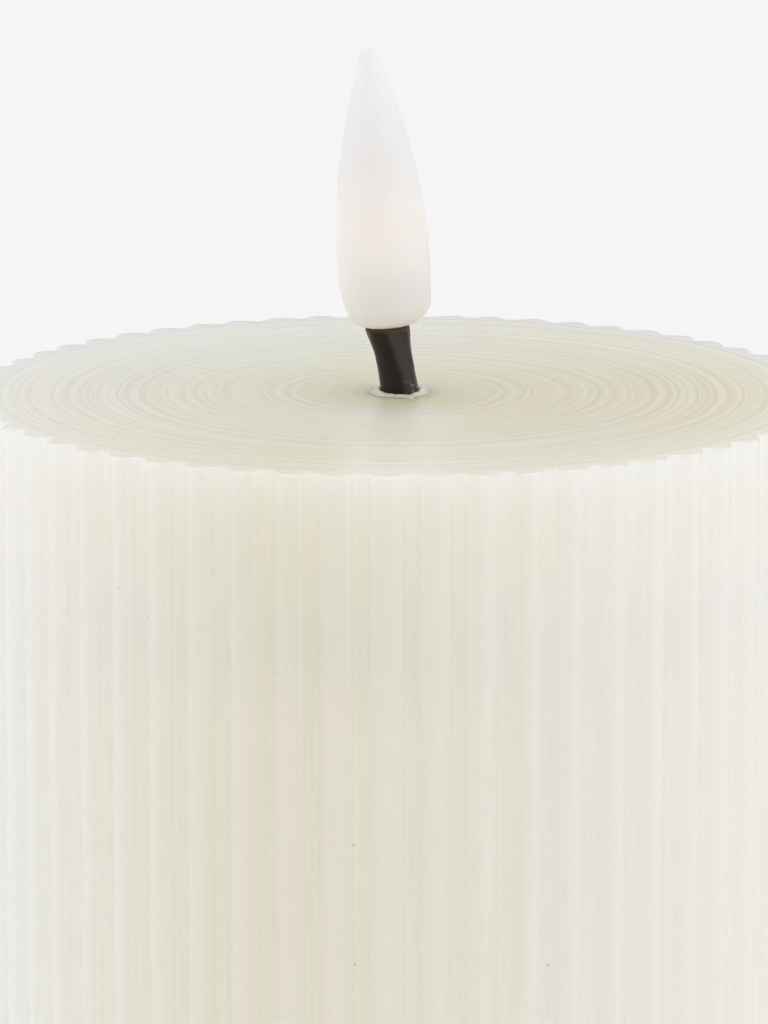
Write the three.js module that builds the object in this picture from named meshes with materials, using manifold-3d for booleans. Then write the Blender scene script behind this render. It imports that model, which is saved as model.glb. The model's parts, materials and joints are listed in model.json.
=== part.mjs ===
// Flameless LED candle: a ribbed wax pillar, a bent wick, a frosted flame and a battery base.
// Millimetres, +Z up. The origin is the centre of the face that the candle stands on.
// The front of the candle faces -Y, and +X is to its right.
import * as THREE from "three";
import { mergeVertices } from "three/addons/utils/BufferGeometryUtils.js";
import Module from "manifold-3d";

const wasm = await Module();
wasm.setup();

// ---------------------------------------------------------------- driving dimensions

const GAP = 0.3; // running clearance between neighbouring pieces

const WAX = {
  radius: 37.5, // over the crests of the ribs
  ribs: 58,
  ribDepth: 1.5,
  ribSteps: 4,
  crestAngle: THREE.MathUtils.degToRad(-1.25), // the crest nearest the front
  bottom: 0.4,
  top: 125,
  socketRadius: 32.5, // takes the battery base
  socketTop: 35.3,
  cavityRadius: 27,
  ceiling: 110,
  wickHoleRadius: 2.05,
};

const BASE = {
  radius: WAX.socketRadius - GAP,
  wall: 1.3,
  rimWall: 1.8,
  plateBottom: 0.8,
  plateTop: 2.6,
  skirtTop: 26,
};
BASE.innerRadius = BASE.radius - BASE.wall;

const COVER = {
  bottom: BASE.skirtTop + GAP,
  top: WAX.socketTop - GAP,
  wall: 1.4,
  spigotDrop: 2.5,
  spigotWall: 1.4,
  wireHoleRadius: 2.2,
};

const CELL = {
  radius: 7.1,
  bodyLength: 49.2,
  nubRadius: 2.7,
  nubLength: 1.2,
  y: 7.6,
  z: 10.1,
  tipX: 26.5,
};

const BAY = { halfX: 27.9, halfY: 15.1, ceiling: 17.6, wall: 1.2, roof: 1.4 };

const DOOR = {
  openHalfX: 26.2,
  openHalfY: 15.1,
  edgeGap: 0.35,
  tabHalfY: 2.2,
  latchHalfY: 2.5,
  slitWidth: 1,
  slitLength: 7,
  grooveCount: 4,
  grooveStep: 2.4,
};

const CONTACT = { face: 27.2, thickness: 0.4, halfWidth: 4.8, bottom: 4.8, top: 16.6 };

const BOARD = {
  bottom: 9.6,
  thickness: 1.2,
  halfX: 15,
  inner: -17,
  outer: -28.6,
  screwX: 12.3,
  screwY: -21.5,
};
BOARD.top = BOARD.bottom + BOARD.thickness;

const SWITCH = {
  y: -23.5,
  travel: 2,
  bodyHalfX: 6.2,
  bodyHalfY: 2.2,
  bodyBottom: 5.2,
  neckHalfX: 1.7,
  neckHalfY: 1.3,
};

const SCREW = {
  x: 19,
  y: 20.5,
  headRadius: 2.1,
  headBottom: 2,
  headTop: 3.3,
  shankRadius: 1,
  tip: 26,
  bossTop: 14,
};

const WICK = {
  radius: 1.66,
  flare: 0.27, // how much wider the tube is at its upper end
  boreRadius: 1.3,
  bottom: 101,
  top: 130.7,
  footX: 0.12, // how far right of the axis the tube leaves the wax
  topX: -0.93, // sideways place of its upper end
};

const FLAME = {
  height: 24.55,
  depthShare: 0.94, // front-to-back size as a share of the width
  lean: THREE.MathUtils.degToRad(4),
  bulge: 0.12, // how far the belly stands to the right of the straight axis
  boreRadius: 1.72,
  boreDepth: 12.2,
};

const LED = { radius: 1.42, base: 0.3, domeTop: 4.7, legRadius: 0.25, legLength: 2.1, legX: 0.55 };

const WIRE_RADIUS = 0.4;

const ROUND_SIDES = 48; // sides of the large turned pieces

// ---------------------------------------------------------------- shapes

// Merges shared vertices, drops triangles with no area and turns every face outwards.
function closed(geometry) {
  const bare = geometry.clone();
  bare.deleteAttribute("normal");
  bare.deleteAttribute("uv");
  const merged = mergeVertices(bare, 1e-4);
  const index = [...merged.index.array];
  const position = merged.attributes.position;
  const corner = [new THREE.Vector3(), new THREE.Vector3(), new THREE.Vector3()];
  const triangles = [];
  let volume = 0;
  for (let i = 0; i < index.length; i += 3) {
    const [a, b, c] = index.slice(i, i + 3);
    if (a === b || b === c || c === a) continue;
    triangles.push([a, b, c]);
    [a, b, c].forEach((vertex, k) => corner[k].fromBufferAttribute(position, vertex));
    volume += corner[0].dot(corner[1].clone().cross(corner[2]));
  }
  if (volume < 0) triangles.forEach((triangle) => triangle.reverse());
  merged.setIndex(triangles.flat());
  return merged;
}

function toSolid(geometry) {
  const mesh = closed(geometry);
  return new wasm.Manifold(
    new wasm.Mesh({
      numProp: 3,
      vertProperties: new Float32Array(mesh.attributes.position.array),
      triVerts: new Uint32Array(mesh.index.array),
    }),
  );
}

function fromSolid(solid) {
  const mesh = solid.getMesh();
  const geometry = new THREE.BufferGeometry();
  geometry.setAttribute("position", new THREE.BufferAttribute(new Float32Array(mesh.vertProperties), 3));
  geometry.setIndex([...mesh.triVerts]);
  return geometry;
}

function join(...geometries) {
  return fromSolid(geometries.map(toSolid).reduce((whole, solid) => whole.add(solid)));
}

function cut(geometry, ...tools) {
  return fromSolid(tools.map(toSolid).reduce((left, tool) => left.subtract(tool), toSolid(geometry)));
}

function common(first, second) {
  return fromSolid(toSolid(first).intersect(toSolid(second)));
}

function box(x0, x1, y0, y1, z0, z1) {
  const geometry = new THREE.BoxGeometry(x1 - x0, y1 - y0, z1 - z0);
  return geometry.translate((x0 + x1) / 2, (y0 + y1) / 2, (z0 + z1) / 2);
}

function rod(radius, z0, z1, x = 0, y = 0, sides = 16) {
  const geometry = new THREE.CylinderGeometry(radius, radius, z1 - z0, sides);
  return geometry.rotateX(Math.PI / 2).translate(x, y, (z0 + z1) / 2);
}

// A body turned about Z from an outline of [radius, height] pairs.
function turned(outline, sides = 24) {
  const points = outline.map(([radius, z]) => new THREE.Vector2(radius, z));
  return new THREE.LatheGeometry(points, sides).rotateX(Math.PI / 2);
}

function ring(outer, inner, z0, z1, sides = 24) {
  return turned([[inner, z0], [outer, z0], [outer, z1], [inner, z1], [inner, z0]], sides);
}

function tube(points, radius, steps, sides = 6) {
  const path = new THREE.CatmullRomCurve3(points.map(([x, y, z]) => new THREE.Vector3(x, y, z)));
  const section = new THREE.Shape();
  section.absarc(0, 0, radius, 0, 2 * Math.PI);
  return new THREE.ExtrudeGeometry(section, {
    steps,
    bevelEnabled: false,
    extrudePath: path,
    curveSegments: sides / 2,
  });
}

function movePoints(geometry, change) {
  const position = geometry.attributes.position;
  const point = new THREE.Vector3();
  for (let i = 0; i < position.count; i += 1) {
    point.fromBufferAttribute(position, i);
    change(point);
    position.setXYZ(i, point.x, point.y, point.z);
  }
  return geometry;
}

function material(color, roughness, metalness = 0) {
  return new THREE.MeshStandardMaterial({ color, roughness, metalness });
}

function part(name, geometry, finish, parent) {
  const mesh = new THREE.Mesh(closed(geometry), finish);
  mesh.name = name;
  parent.add(mesh);
  return mesh;
}

const FINISH = {
  wax: material(0xe9e4d4, 0.55),
  silicone: material(0xf3efe8, 0.6),
  wick: material(0x2c2620, 0.6),
  epoxy: material(0xf6e7b4, 0.2),
  whiteAbs: material(0xeeede8, 0.5),
  redWire: material(0xb3261e, 0.5),
  blackWire: material(0x1d1d1f, 0.5),
  cell: material(0x35383d, 0.35, 0.3),
  spring: material(0xc9cbd0, 0.25, 0.9),
  board: material(0x1f5a38, 0.5),
  chip: material(0x17181a, 0.5),
  can: material(0xb9bcc2, 0.3, 0.9),
  sleeve: material(0x23252b, 0.45),
  steel: material(0xa9abb0, 0.35, 0.9),
  switchMetal: material(0xbfc1c5, 0.3, 0.9),
  blackPlastic: material(0x1c1c1e, 0.55),
};

// ---------------------------------------------------------------- wax pillar

// Radius of the ribbed side: each rib is a rounded lobe that falls off to a valley on both sides.
function ribRadius(share) {
  return WAX.radius - WAX.ribDepth * (2 * share) ** 2;
}

function waxShell() {
  const outline = new THREE.Shape();
  const pitch = (2 * Math.PI) / WAX.ribs;
  for (let i = 0; i < WAX.ribs * WAX.ribSteps; i += 1) {
    const share = (i % WAX.ribSteps) / WAX.ribSteps - 0.5;
    const turn = WAX.crestAngle - Math.PI / 2 + pitch * (Math.floor(i / WAX.ribSteps) + share);
    const radius = ribRadius(share);
    const method = i === 0 ? "moveTo" : "lineTo";
    outline[method](radius * Math.cos(turn), radius * Math.sin(turn));
  }
  outline.closePath();
  const pillar = new THREE.ExtrudeGeometry(outline, { depth: WAX.top - WAX.bottom, bevelEnabled: false });
  pillar.translate(0, 0, WAX.bottom);
  const hollow = turned(
    [
      [0, -1],
      [WAX.socketRadius, -1],
      [WAX.socketRadius, WAX.socketTop],
      [WAX.cavityRadius, WAX.socketTop],
      [WAX.cavityRadius, WAX.ceiling - 3],
      [WAX.cavityRadius - 3, WAX.ceiling],
      [WAX.wickHoleRadius, WAX.ceiling],
      [WAX.wickHoleRadius, WAX.top + 1],
      [0, WAX.top + 1],
    ],
    60,
  );
  return cut(pillar, hollow);
}

// ---------------------------------------------------------------- wick and flame

// Share of the way from the wax up to the upper end of the wick.
function wickShare(z) {
  return Math.max(0, z - WAX.top) / (WICK.top - WAX.top);
}

// Sideways place of the wick's centre line at height z.
function wickX(z) {
  const inWax = THREE.MathUtils.clamp((z - WICK.bottom) / (WAX.top - WICK.bottom), 0, 1);
  return WICK.footX * inWax + (WICK.topX - WICK.footX) * wickShare(z) ** 1.2;
}

function wickSleeve() {
  const flareStart = WAX.top + 3.2;
  const middle = (flareStart + WICK.top) / 2;
  const sleeve = turned([
    [WICK.boreRadius, WICK.bottom],
    [WICK.radius, WICK.bottom],
    [WICK.radius, WAX.top - 1],
    [WICK.radius, WAX.top + 1.2],
    [WICK.radius, flareStart],
    [WICK.radius + WICK.flare / 2, middle],
    [WICK.radius + WICK.flare, WICK.top],
    [WICK.boreRadius, WICK.top],
    [WICK.boreRadius, middle],
    [WICK.boreRadius, flareStart],
    [WICK.boreRadius, WAX.top + 1.2],
    [WICK.boreRadius, WAX.top - 1],
    [WICK.boreRadius, WICK.bottom],
  ]);
  return movePoints(sleeve, (point) => {
    const { x, z } = point;
    point.x = x + wickX(z);
    point.z = z + x * Math.tan(FLAME.lean) * wickShare(z);
  });
}

// The flame in its own frame: its foot is at z = 0 and its straight axis is Z.
function flame() {
  const side = new THREE.SplineCurve(
    [
      [2.35, 0],
      [3.35, 1.2],
      [3.98, 3.75],
      [4.05, 6.45],
      [3.72, 11.05],
      [2.95, 15.85],
      [1.85, 20.05],
      [0.85, 23.25],
      [0.45, FLAME.height - 0.25],
    ].map(([radius, z]) => new THREE.Vector2(radius, z)),
  );
  const outline = [[0, 0], ...side.getPoints(16).map((point) => [point.x, point.y]), [0, FLAME.height]];
  const body = turned(outline);
  movePoints(body, (point) => {
    point.x += FLAME.bulge * Math.sin((Math.PI * point.z) / FLAME.height);
    point.y *= FLAME.depthShare;
  });
  const bore = turned([
    [0, -1],
    [FLAME.boreRadius, -1],
    [FLAME.boreRadius, LED.domeTop],
    [FLAME.boreRadius * 0.78, 7.6],
    [FLAME.boreRadius * 0.45, 10.6],
    [0, FLAME.boreDepth],
  ]);
  return cut(body, bore);
}

function flameLed() {
  const domeStart = LED.domeTop - LED.radius;
  const lens = turned(
    [
      [0, LED.base],
      [LED.radius, LED.base],
      [LED.radius, domeStart],
      [LED.radius * 0.87, domeStart + LED.radius * 0.5],
      [LED.radius * 0.5, domeStart + LED.radius * 0.87],
      [0, LED.domeTop],
    ],
    20,
  );
  const legs = [-LED.legX, LED.legX].map((x) =>
    rod(LED.legRadius, LED.base - LED.legLength, LED.base + 0.4, x, 0, 8),
  );
  return join(lens, ...legs);
}

function wickHolder() {
  const bore = WICK.radius + GAP;
  const flangeTop = WAX.ceiling - GAP;
  return turned([
    [bore, WICK.bottom],
    [bore + 1.4, WICK.bottom],
    [bore + 1.4, flangeTop - 1.8],
    [9, flangeTop - 1.8],
    [9, flangeTop],
    [bore, flangeTop],
    [bore, WICK.bottom],
  ]);
}

// Each LED wire runs down the wick and the hollow pillar, through the cover, and onto the board.
function ledWire(side) {
  const x = side * LED.legX;
  const boardX = 9.5 + side * 0.8;
  const upper = [WICK.top - 1.9, WAX.top + 2, WAX.top - 0.5, 112, 80, 46, COVER.bottom + 8];
  const route = upper.map((z) => [x + wickX(z), 0, z]);
  route.push([2 + side * 0.7, -4, 29.5], [6.6 + side * 0.8, -13.5, 24.5]);
  route.push([9 + side * 0.8, -18.4, 17.5], [boardX, -19.3, BOARD.top + GAP]);
  return tube(route, WIRE_RADIUS, 48);
}

// ---------------------------------------------------------------- battery base

function screwSpots() {
  return [
    [SCREW.x, SCREW.y],
    [-SCREW.x, SCREW.y],
    [-SCREW.x, -SCREW.y],
    [SCREW.x, -SCREW.y],
  ];
}

function boardScrewSpots() {
  return [
    [-BOARD.screwX, BOARD.screwY],
    [BOARD.screwX, BOARD.screwY],
  ];
}

function baseHousing() {
  const { radius, innerRadius, rimWall, plateBottom, plateTop, skirtTop } = BASE;
  const rim = ring(radius, radius - rimWall, 0, plateTop, ROUND_SIDES);
  const skirt = ring(radius, innerRadius, plateBottom, skirtTop, ROUND_SIDES);
  const plate = rod(radius - 0.2, plateBottom, plateTop, 0, 0, ROUND_SIDES);
  const outX = BAY.halfX + BAY.wall;
  const outY = BAY.halfY + BAY.wall;
  const bayShell = common(
    box(-outX, outX, -outY, outY, plateBottom, BAY.ceiling + BAY.roof),
    rod(radius - 0.5, 0, skirtTop, 0, 0, ROUND_SIDES),
  );
  const bosses = screwSpots().flatMap(([x, y]) => [
    rod(2.9, plateBottom, SCREW.bossTop, x, y),
    rod(3.4, plateBottom, 5, x, y),
  ]);
  const posts = boardScrewSpots().map(([x, y]) => rod(2.3, plateBottom, BOARD.bottom - GAP, x, y));
  const bayHollow = common(
    box(-BAY.halfX, BAY.halfX, -BAY.halfY, BAY.halfY, plateTop, BAY.ceiling),
    rod(innerRadius, 0, skirtTop, 0, 0, ROUND_SIDES),
  );
  const doorway = box(-DOOR.openHalfX, DOOR.openHalfX, -DOOR.openHalfY, DOOR.openHalfY, -1, plateTop + 0.5);
  const slotHalfX = SWITCH.neckHalfX + SWITCH.travel + GAP;
  const slotHalfY = SWITCH.neckHalfY + GAP;
  const slot = box(-slotHalfX, slotHalfX, SWITCH.y - slotHalfY, SWITCH.y + slotHalfY, -1, plateTop + 1);
  const screwHoles = screwSpots().flatMap(([x, y]) => [
    rod(SCREW.headRadius + GAP, -1, SCREW.headTop + GAP, x, y),
    rod(SCREW.shankRadius + GAP, 0, SCREW.bossTop + 1, x, y, 16),
  ]);
  const pilots = boardScrewSpots().map(([x, y]) => rod(1.2, 4.5, BOARD.bottom, x, y, 12));
  const tabSlots = [-CELL.y, CELL.y].map((y) =>
    box(-BAY.halfX, -BAY.halfX + 1.2, y - 1.4, y + 1.4, BAY.ceiling - 1, BAY.ceiling + 2),
  );
  const solid = join(rim, skirt, plate, bayShell, ...bosses, ...posts);
  return cut(solid, bayHollow, doorway, slot, ...screwHoles, ...pilots, ...tabSlots);
}

function batteryDoor() {
  const endX = DOOR.openHalfX - DOOR.edgeGap;
  const sideY = DOOR.openHalfY - DOOR.edgeGap;
  const { plateBottom, plateTop } = BASE;
  const plate = box(-endX, endX, -sideY, sideY, plateBottom, plateTop);
  const tabFoot = box(-endX, -endX + 1.3, -DOOR.tabHalfY, DOOR.tabHalfY, plateTop - 0.5, plateTop + 1.3);
  const tab = box(-endX - 1.65, -endX + 1.3, -DOOR.tabHalfY, DOOR.tabHalfY, plateTop + GAP, plateTop + 1.3);
  const latchY = DOOR.latchHalfY;
  const latchWall = box(endX - 1.6, endX - 0.6, -latchY, latchY, plateTop - 0.5, plateTop + 1.6);
  const latchNose = box(endX - 0.9, endX, -latchY, latchY, plateTop + 0.5, plateTop + 1.3);
  const slits = [-1, 1].map((side) => {
    const y = side * (latchY + 0.7 + DOOR.slitWidth / 2);
    return box(
      endX - DOOR.slitLength,
      endX + 1,
      y - DOOR.slitWidth / 2,
      y + DOOR.slitWidth / 2,
      plateBottom - 1,
      plateTop + 1,
    );
  });
  const grooves = [];
  for (let i = 0; i < DOOR.grooveCount; i += 1) {
    const x = endX - DOOR.slitLength - 3 - i * DOOR.grooveStep;
    grooves.push(box(x - 0.6, x + 0.6, -7, 7, plateBottom - 1, plateBottom + 0.5));
  }
  return cut(join(plate, tabFoot, tab, latchWall, latchNose), ...slits, ...grooves);
}

function upperCover() {
  const { bottom, top, wall, spigotDrop, spigotWall, wireHoleRadius } = COVER;
  const outer = BASE.radius;
  const spigot = BASE.innerRadius - GAP;
  const shell = turned(
    [
      [wireHoleRadius, top - wall],
      [outer - wall, top - wall],
      [outer - wall, bottom + 2],
      [spigot - spigotWall, bottom + 1],
      [spigot - spigotWall, bottom - spigotDrop],
      [spigot, bottom - spigotDrop],
      [spigot, bottom],
      [outer, bottom],
      [outer, top],
      [wireHoleRadius, top],
      [wireHoleRadius, top - wall],
    ],
    ROUND_SIDES,
  );
  const posts = screwSpots().map(([x, y]) => rod(2.6, SCREW.bossTop + GAP, top - wall / 2, x, y));
  const pilots = screwSpots().map(([x, y]) => rod(SCREW.shankRadius + GAP, 0, SCREW.tip + GAP, x, y, 16));
  return cut(join(shell, ...posts), ...pilots);
}

// A pan-head screw that points up, with its cross recess in the lower face.
function screw(headRadius, headBottom, headTop, shankRadius, tip) {
  const body = turned(
    [
      [0, headBottom],
      [headRadius * 0.75, headBottom],
      [headRadius, headBottom + 0.5],
      [headRadius, headTop],
      [shankRadius, headTop],
      [shankRadius, tip - shankRadius],
      [0, tip],
    ],
    12,
  );
  const reach = headRadius * 0.6;
  const across = box(-reach, reach, -0.3, 0.3, headBottom - 1, headBottom + 0.6);
  const along = box(-0.3, 0.3, -reach, reach, headBottom - 1, headBottom + 0.6);
  return cut(body, across, along);
}

// ---------------------------------------------------------------- cells and contacts

// An AA cell along X with its positive nub towards side * X.
function cell(side) {
  const { radius, bodyLength, nubRadius, nubLength, y, z, tipX } = CELL;
  const bodyTop = tipX - nubLength;
  const bodyBottom = bodyTop - bodyLength;
  const body = turned([
    [0, bodyBottom],
    [radius - 0.6, bodyBottom],
    [radius, bodyBottom + 0.6],
    [radius, bodyTop - 0.6],
    [radius - 0.6, bodyTop],
    [nubRadius, bodyTop],
    [nubRadius, tipX],
    [0, tipX],
  ]);
  return body.rotateY((side * Math.PI) / 2).translate(0, side * y, z);
}

// A flat contact against the end wall of the battery bay, on the side where x has the given sign.
function contactPlate(end, y0, y1) {
  const { face, thickness, bottom, top } = CONTACT;
  const x = end * (face + thickness / 2);
  return box(x - thickness / 2, x + thickness / 2, y0, y1, bottom, top);
}

function solderTab(end, y) {
  const { face, thickness, top } = CONTACT;
  const x = end * (face + thickness / 2);
  return box(x - thickness / 2, x + thickness / 2, y - 1.1, y + 1.1, top - 1, BAY.ceiling + BAY.roof + 1.4);
}

// The raised dimple that meets a cell's positive nub.
function dimple(end, y) {
  const disc = new THREE.CylinderGeometry(1.6, 2.2, 0.6, 16);
  return disc.rotateZ((end * Math.PI) / 2).translate(end * (CONTACT.face - 0.1), y, CELL.z);
}

function negativePlate() {
  const plate = contactPlate(-1, CELL.y - CONTACT.halfWidth, CELL.y + CONTACT.halfWidth);
  return join(plate, solderTab(-1, CELL.y));
}

function positivePlate() {
  const plate = contactPlate(-1, -CELL.y - CONTACT.halfWidth, -CELL.y + CONTACT.halfWidth);
  return join(plate, solderTab(-1, -CELL.y), dimple(-1, -CELL.y));
}

function bridgePlate() {
  const reach = CELL.y + CONTACT.halfWidth;
  return join(contactPlate(1, -reach, reach), dimple(1, CELL.y));
}

// A conical spring between a plate and the flat end of a cell.
function contactSpring(end, y) {
  const turns = 2.5;
  const stepsPerTurn = 10;
  const cellEnd = CELL.bodyLength + CELL.nubLength - CELL.tipX;
  const length = CONTACT.face - cellEnd - 1.2;
  const points = [];
  for (let i = 0; i <= turns * stepsPerTurn; i += 1) {
    const share = i / (turns * stepsPerTurn);
    const radius = 4.1 - 1.7 * share;
    const turn = 2 * Math.PI * turns * share;
    const x = end * (CONTACT.face - 0.6 - length * share);
    points.push([x, y + radius * Math.cos(turn), CELL.z + radius * Math.sin(turn)]);
  }
  return tube(points, 0.3, turns * stepsPerTurn);
}

// ---------------------------------------------------------------- electronics

function circuitBoard() {
  const { bottom, thickness, halfX, inner, outer } = BOARD;
  const outline = new THREE.Shape();
  outline.moveTo(-halfX, inner);
  outline.lineTo(halfX, inner);
  outline.lineTo(halfX, outer + 3.2);
  outline.lineTo(halfX - 6, outer);
  outline.lineTo(6 - halfX, outer);
  outline.lineTo(-halfX, outer + 3.2);
  outline.closePath();
  const sheet = new THREE.ExtrudeGeometry(outline, { depth: thickness, bevelEnabled: false });
  const holes = boardScrewSpots().map(([x, y]) => rod(1.2, bottom - 1, bottom + thickness + 1, x, y, 12));
  return cut(sheet.translate(0, 0, bottom), ...holes);
}

// An eight-pin chip whose pins stand on the board.
function timerChip() {
  const z = BOARD.top + 0.05;
  const body = box(-2.45, 2.45, -1.95, 1.95, z + 0.15, z + 1.55);
  const pins = [];
  for (let i = 0; i < 4; i += 1) {
    const x = -1.9 + i * 1.27;
    pins.push(box(x - 0.2, x + 0.2, -2.7, 2.7, z + 0.5, z + 0.7));
    pins.push(box(x - 0.2, x + 0.2, -3.1, -2.6, z, z + 0.7));
    pins.push(box(x - 0.2, x + 0.2, 2.6, 3.1, z, z + 0.7));
  }
  return join(body, ...pins).translate(0, BOARD.screwY - 0.6, 0);
}

function capacitor() {
  const z = BOARD.top + 0.1;
  const can = turned([
    [0, 0],
    [2, 0],
    [2, 0.9],
    [1.8, 1.2],
    [2, 1.5],
    [2, 5.8],
    [1.8, 6],
    [0, 6],
  ]);
  return can.translate(-6.6, -24.6, z);
}

function crystal() {
  const can = rod(1.05, -3, 3, 0, 0, 16);
  return can.rotateY(Math.PI / 2).translate(6.6, -25.6, BOARD.top + 0.1 + 1.05);
}

function chipResistor(x) {
  const z = BOARD.top + 0.05;
  return box(x - 1.6, x + 1.6, -18.9, -17.5, z, z + 0.6);
}

function switchBody() {
  const { y, bodyHalfX, bodyHalfY, bodyBottom, travel } = SWITCH;
  const shell = box(-bodyHalfX, bodyHalfX, y - bodyHalfY, y + bodyHalfY, bodyBottom, BOARD.bottom - GAP);
  const slot = box(-1 - travel - GAP, 1 + travel + GAP, y - 1.1, y + 1.1, bodyBottom - 1, bodyBottom + 1.6);
  return cut(shell, slot);
}

function switchLever() {
  const { y, bodyBottom } = SWITCH;
  return box(-1, 1, y - 0.8, y + 0.8, 2, bodyBottom + 1.3);
}

function switchButton() {
  const { y, neckHalfX, neckHalfY } = SWITCH;
  const flangeBottom = BASE.plateTop + GAP;
  const flange = box(-6, 6, y - 2.4, y + 2.4, flangeBottom, flangeBottom + 0.8);
  const neck = box(-neckHalfX, neckHalfX, y - neckHalfY, y + neckHalfY, 0.3, flangeBottom + 0.4);
  const socket = box(-1 - GAP, 1 + GAP, y - 1.05, y + 1.05, 2 - GAP, flangeBottom + 2);
  const notches = [-0.9, 0.9].map((x) => box(x - 0.25, x + 0.25, y - 2, y + 2, 0, 0.6));
  return cut(join(flange, neck), socket, ...notches);
}

function batteryWire(side) {
  const y = side * CELL.y;
  const roof = BAY.ceiling + BAY.roof;
  const tabTop = roof + 1.4;
  const boardX = -8.8 + side * 1.4;
  return tube(
    [
      [-CONTACT.face - 0.2, y, tabTop + GAP],
      [-CONTACT.face + 2.5, y - 0.6, tabTop + 1.8],
      [-19 + side * 2, -4 + side * 2.5, roof + 2.6],
      [-12 + side * 1.6, -12 + side * 0.8, roof + 2.4],
      [boardX, -16.9, roof + 1],
      [boardX, -18.3, roof - 2.5],
      [boardX, -18.9, BOARD.top + GAP],
    ],
    0.5,
    28,
  );
}

// ---------------------------------------------------------------- assembly

const candle = new THREE.Group();

part("wax_shell", waxShell(), FINISH.wax, candle);
part("wick_sleeve", wickSleeve(), FINISH.wick, candle);
part("wick_holder", wickHolder(), FINISH.whiteAbs, candle);

// The flame and its LED share a frame on top of the wick and lean to the left with it.
const head = new THREE.Group();
head.position.set(WICK.topX, 0, WICK.top + GAP);
head.rotation.y = -FLAME.lean;
candle.add(head);
part("flame", flame(), FINISH.silicone, head);
part("flame_led", flameLed(), FINISH.epoxy, head);
part("led_wire_red", ledWire(1), FINISH.redWire, candle);
part("led_wire_black", ledWire(-1), FINISH.blackWire, candle);

part("upper_cover", upperCover(), FINISH.whiteAbs, candle);
part("base_housing", baseHousing(), FINISH.whiteAbs, candle);
part("battery_door", batteryDoor(), FINISH.whiteAbs, candle);
screwSpots().forEach(([x, y], i) => {
  const { headRadius, headBottom, headTop, shankRadius, tip } = SCREW;
  const shape = screw(headRadius, headBottom, headTop, shankRadius, tip);
  part(`base_screw_${i + 1}`, shape, FINISH.steel, candle).position.set(x, y, 0);
});

part("cell_1", cell(1), FINISH.cell, candle);
part("cell_2", cell(-1), FINISH.cell, candle);
part("negative_plate", negativePlate(), FINISH.spring, candle);
part("negative_spring", contactSpring(-1, CELL.y), FINISH.spring, candle);
part("positive_plate", positivePlate(), FINISH.spring, candle);
part("bridge_plate", bridgePlate(), FINISH.spring, candle);
part("bridge_spring", contactSpring(1, -CELL.y), FINISH.spring, candle);
part("battery_wire_black", batteryWire(1), FINISH.blackWire, candle);
part("battery_wire_red", batteryWire(-1), FINISH.redWire, candle);

part("circuit_board", circuitBoard(), FINISH.board, candle);
part("timer_chip", timerChip(), FINISH.chip, candle);
part("capacitor", capacitor(), FINISH.sleeve, candle);
part("crystal", crystal(), FINISH.can, candle);
part("resistor_1", chipResistor(-3.2), FINISH.chip, candle);
part("resistor_2", chipResistor(3.2), FINISH.chip, candle);
boardScrewSpots().forEach(([x, y], i) => {
  const mesh = part(`board_screw_${i + 1}`, screw(1.9, -12.3, -11.1, 0.9, -5), FINISH.steel, candle);
  mesh.rotation.x = Math.PI;
  mesh.position.set(x, y, 0);
});

part("switch_body", switchBody(), FINISH.switchMetal, candle);
part("switch_lever", switchLever(), FINISH.blackPlastic, candle);
part("switch_button", switchButton(), FINISH.blackPlastic, candle);

export default candle;
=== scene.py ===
import json
import math
import random

import bpy
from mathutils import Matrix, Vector, noise


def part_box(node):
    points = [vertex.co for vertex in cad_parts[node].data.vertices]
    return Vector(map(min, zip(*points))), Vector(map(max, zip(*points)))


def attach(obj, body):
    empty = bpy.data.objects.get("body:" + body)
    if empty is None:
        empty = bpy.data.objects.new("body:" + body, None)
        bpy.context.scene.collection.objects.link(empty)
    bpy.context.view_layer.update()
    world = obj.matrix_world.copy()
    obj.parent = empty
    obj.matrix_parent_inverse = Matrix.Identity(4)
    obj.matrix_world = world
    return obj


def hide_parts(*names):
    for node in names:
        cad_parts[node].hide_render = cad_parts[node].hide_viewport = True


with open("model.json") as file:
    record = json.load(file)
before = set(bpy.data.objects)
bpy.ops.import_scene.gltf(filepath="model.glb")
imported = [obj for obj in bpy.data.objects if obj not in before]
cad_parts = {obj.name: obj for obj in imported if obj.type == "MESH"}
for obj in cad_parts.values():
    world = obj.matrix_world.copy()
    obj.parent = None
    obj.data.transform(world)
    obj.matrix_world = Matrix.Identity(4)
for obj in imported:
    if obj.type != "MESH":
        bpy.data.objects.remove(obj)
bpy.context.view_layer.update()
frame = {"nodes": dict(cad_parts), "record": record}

MM = 0.001
TAU = 2 * math.pi

# ------------------------------------------------------------------ driving dimensions

CLEARANCE = 0.3 * MM
WAX_LOW, WAX_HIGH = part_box("wax_shell")
CREST_RADIUS = (WAX_HIGH.x - WAX_LOW.x) / 2
WAX_TOP = WAX_HIGH.z
RIB_COUNT = 58
RIB_DEPTH = 1.7 * MM
# Share of the way from a crest to a valley at which the rib's side starts to round off.
VALLEY_START = 0.72
# How far the front rib is turned from straight ahead.
CREST_ANGLE = math.radians(-1.25)
SOCKET_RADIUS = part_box("base_housing")[1].x + CLEARANCE
SOCKET_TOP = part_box("upper_cover")[1].z + CLEARANCE
CAVITY_RADIUS = 27 * MM
CAVITY_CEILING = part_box("wick_holder")[1].z + CLEARANCE

FLAME_LEAN = math.radians(4)
FLAME_HEIGHT = 24.55 * MM
FLAME_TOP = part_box("flame")[1].z
FLAME_FOOT = Vector((-0.93 * MM, 0, FLAME_TOP - FLAME_HEIGHT * math.cos(FLAME_LEAN)))
# The flame's depth from front to back, as a share of its width.
FLAME_DEPTH_SHARE = 0.94
# How far the middle of the flame lies to the right of a straight line from foot to tip.
FLAME_BULGE = 0.12 * MM
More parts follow.
